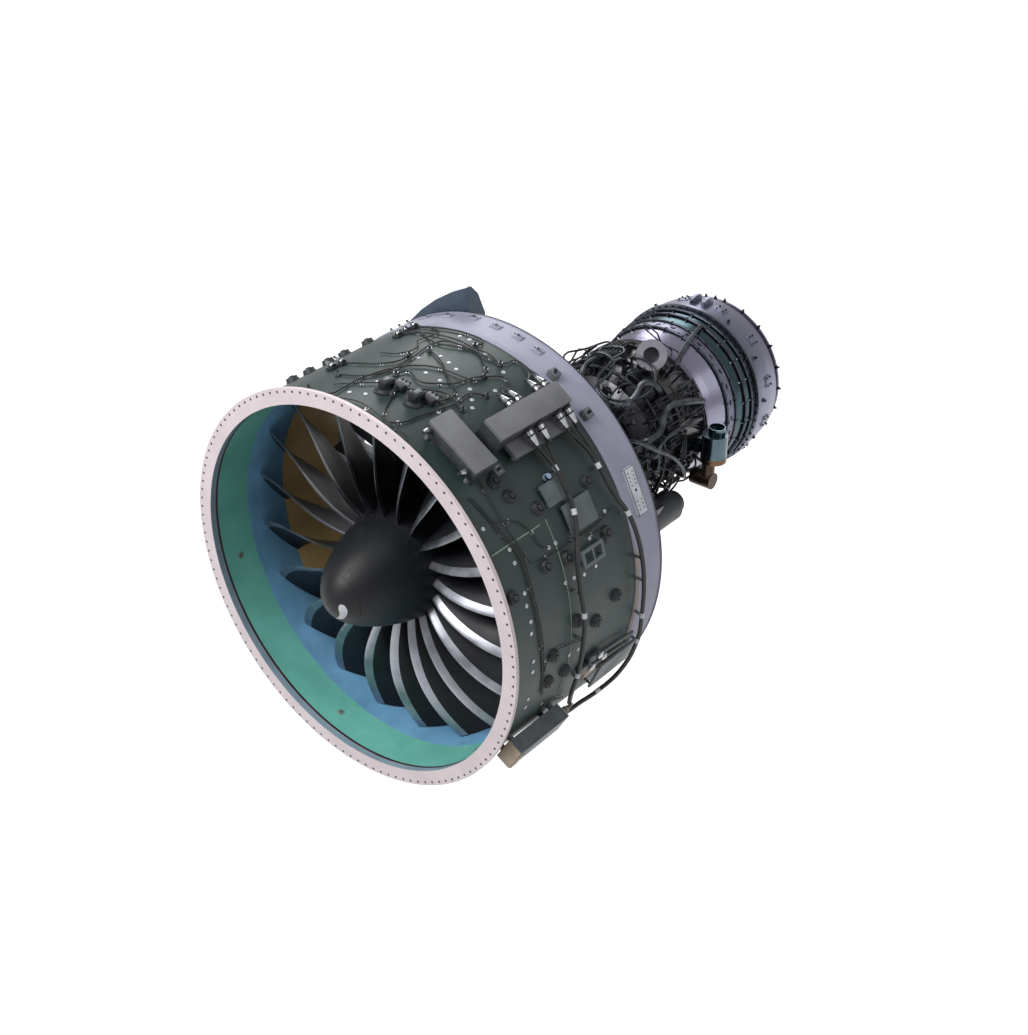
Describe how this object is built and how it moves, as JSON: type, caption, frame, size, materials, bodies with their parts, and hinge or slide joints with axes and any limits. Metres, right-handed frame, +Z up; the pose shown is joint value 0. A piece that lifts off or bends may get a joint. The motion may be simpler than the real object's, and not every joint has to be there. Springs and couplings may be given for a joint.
{
  "type": "geared turbofan engine",
  "caption": "Bare geared turbofan jet engine: wide bladed fan in a dark green fan case with a pale front flange, slim core behind with pipes, accessories and a bolted exhaust case.",
  "frame": {"origin": "centre of the front flange face", "axes": "+Y aft along the shafts, +Z up, +X to the engine's left side, which the picture shows"},
  "size_m": [2.2888, 3.545, 2.3482],
  "materials": {
    "flange_white": "pale pinkish white coating, satin",
    "case_green": "dark grey-green composite with a satin coat",
    "seal_dark": "dark red-brown elastomer",
    "liner_teal": "teal acoustic facing, satin",
    "liner_blue": "blue-grey abradable track, matte",
    "liner_ochre": "ochre acoustic facing, satin",
    "ring_grey": "lavender grey anodised ring, satin",
    "vane_dark": "dark grey coated vane",
    "spinner_black": "charcoal composite, satin",
    "blade_dark": "charcoal coat with a bright metal leading edge",
    "shaft_steel": "ground steel",
    "gear_steel": "case-hardened gear steel",
    "bearing_steel": "polished bearing steel",
    "rotor_alloy": "titanium and nickel alloy",
    "frame_alloy": "dark grey cast and welded alloy",
    "hot_alloy": "heat-tinted nickel alloy",
    "exhaust_alloy": "pale lavender grey nickel alloy",
    "gearbox_cast": "dark cast aluminium",
    "unit_grey": "dark grey painted accessory",
    "tank_steel": "bluish steel",
    "pipe_steel": "dull steel tube",
    "box_grey": "warm grey painted box",
    "plate_grey": "grey painted plate",
    "bracket_blue": "blue-grey painted bracket",
    "rubber_black": "dark moulded rubber",
    "cable_black": "black braided sleeve"
  },
  "bodies": {
    "engine_frame": {"front_attach_ring": "flange_white", "inlet_seal": "seal_dark", "fan_case": "case_green", "inlet_liner": "liner_teal", "fan_track_liner": "liner_blue", "rear_liner": "liner_ochre", "rear_ring": "ring_grey", "exit_guide_vanes": "vane_dark", "gear_carrier": "frame_alloy", "bearings": "bearing_steel", "core_inlet_body": "frame_alloy", "low_compressor_case": "frame_alloy", "intermediate_case": "frame_alloy", "high_compressor_case": "frame_alloy", "diffuser_case": "hot_alloy", "combustor": "hot_alloy", "fuel_nozzles": "pipe_steel", "fuel_ring": "pipe_steel", "high_turbine_case": "hot_alloy", "low_turbine_case": "hot_alloy", "clearance_rings": "hot_alloy", "exhaust_case": "exhaust_alloy", "exhaust_struts": "exhaust_alloy", "rear_lugs": "exhaust_alloy", "rear_bearing_cover": "exhaust_alloy", "accessory_gearbox": "gearbox_cast", "starter": "unit_grey", "generator": "unit_grey", "fuel_pump": "unit_grey", "hydraulic_pump": "unit_grey", "oil_tank": "tank_steel", "oil_filter": "unit_grey", "bleed_duct": "pipe_steel", "air_pipes": "pipe_steel", "oil_pipes": "pipe_steel", "control_boxes": "box_grey", "case_plates": "plate_grey", "top_bracket": "bracket_blue", "lower_box": "plate_grey", "harnesses": "cable_black", "harness_clamps": "plate_grey", "bumpers": "rubber_black"},
    "fan_rotor": {"spinner": "spinner_black", "spinner_cap": "spinner_black", "fan_blades": "blade_dark", "fan_hub": "rotor_alloy", "fan_shaft": "shaft_steel", "ring_gear": "gear_steel"},
    "star_1": {"star_gear_1": "gear_steel"},
    "star_2": {"star_gear_2": "gear_steel"},
    "star_3": {"star_gear_3": "gear_steel"},
    "star_4": {"star_gear_4": "gear_steel"},
    "star_5": {"star_gear_5": "gear_steel"},
    "low_spool": {"sun_gear": "gear_steel", "low_shaft": "shaft_steel", "low_compressor_rotor": "rotor_alloy", "low_turbine_rotor": "rotor_alloy"},
    "high_spool": {"high_shaft": "shaft_steel", "high_compressor_rotor": "rotor_alloy", "high_turbine_rotor": "rotor_alloy"}
  },
  "joints": [
    {"name": "fan_spin", "type": "hinge", "parent": "engine_frame", "child": "fan_rotor", "pos_m": [0, 0.45, 0], "axis": [0, 1, 0], "continuous": true},
    {"name": "star_1_spin", "type": "hinge", "parent": "engine_frame", "child": "star_1", "pos_m": [0, 0.7, 0.1625], "axis": [0, 1, 0], "continuous": true},
    {"name": "star_2_spin", "type": "hinge", "parent": "engine_frame", "child": "star_2", "pos_m": [0.15455, 0.7, 0.05022], "axis": [0, 1, 0], "continuous": true},
    {"name": "star_3_spin", "type": "hinge", "parent": "engine_frame", "child": "star_3", "pos_m": [0.09552, 0.7, -0.13146], "axis": [0, 1, 0], "continuous": true},
    {"name": "star_4_spin", "type": "hinge", "parent": "engine_frame", "child": "star_4", "pos_m": [-0.09552, 0.7, -0.13146], "axis": [0, 1, 0], "continuous": true},
    {"name": "star_5_spin", "type": "hinge", "parent": "engine_frame", "child": "star_5", "pos_m": [-0.15455, 0.7, 0.05022], "axis": [0, 1, 0], "continuous": true},
    {"name": "low_spool_spin", "type": "hinge", "parent": "engine_frame", "child": "low_spool", "pos_m": [0, 1.5, 0], "axis": [0, 1, 0], "continuous": true},
    {"name": "high_spool_spin", "type": "hinge", "parent": "engine_frame", "child": "high_spool", "pos_m": [0, 2, 0], "axis": [0, 1, 0], "continuous": true}
  ],
  "couplings": [
    {"joint": "star_1_spin", "follows": "fan_spin", "ratio": 2.9697},
    {"joint": "star_2_spin", "follows": "fan_spin", "ratio": 2.9697},
    {"joint": "star_3_spin", "follows": "fan_spin", "ratio": 2.9697},
    {"joint": "star_4_spin", "follows": "fan_spin", "ratio": 2.9697},
    {"joint": "star_5_spin", "follows": "fan_spin", "ratio": 2.9697},
    {"joint": "low_spool_spin", "follows": "fan_spin", "ratio": -3.0625}
  ]
}
